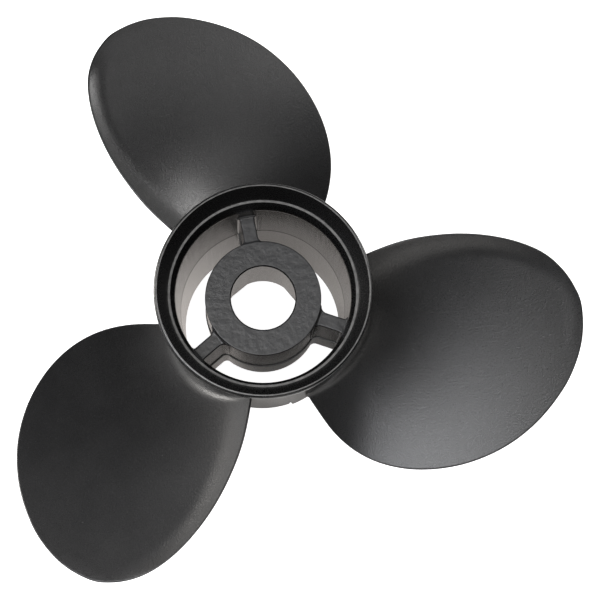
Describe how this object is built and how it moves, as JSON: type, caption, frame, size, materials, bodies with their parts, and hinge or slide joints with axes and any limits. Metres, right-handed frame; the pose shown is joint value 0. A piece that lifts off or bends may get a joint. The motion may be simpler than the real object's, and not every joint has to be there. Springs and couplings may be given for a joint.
{
  "type": "boat propeller",
  "caption": "Right-hand cast boat propeller with broad raked blades, a flared through-hub exhaust barrel and an empty socket for a drive hub kit.",
  "frame": {"origin": "on the propeller shaft line, in the plane of the barrel's forward face, which the propeller stands on", "axes": "+Z along the shaft line, pointing aft; +X to the right and +Y up when seen from aft, with one blade reaching towards +X"},
  "size_m": [0.313, 0.321, 0.117],
  "materials": {
    "barrel_paint": "satin black marine paint on cast aluminium, slightly rough",
    "flare_paint": "satin black marine paint on a turned face",
    "hub_paint": "satin black paint over coarse casting skin",
    "blade_paint": "satin black marine paint with a fine speckle"
  },
  "bodies": {
    "root": {"exhaust_barrel": "barrel_paint", "flare_ring": "flare_paint", "inner_hub": "hub_paint", "hub_rib_1": "hub_paint", "hub_rib_2": "hub_paint", "hub_rib_3": "hub_paint", "blade_1": "blade_paint", "blade_2": "blade_paint", "blade_3": "blade_paint"}
  },
  "joints": []
}
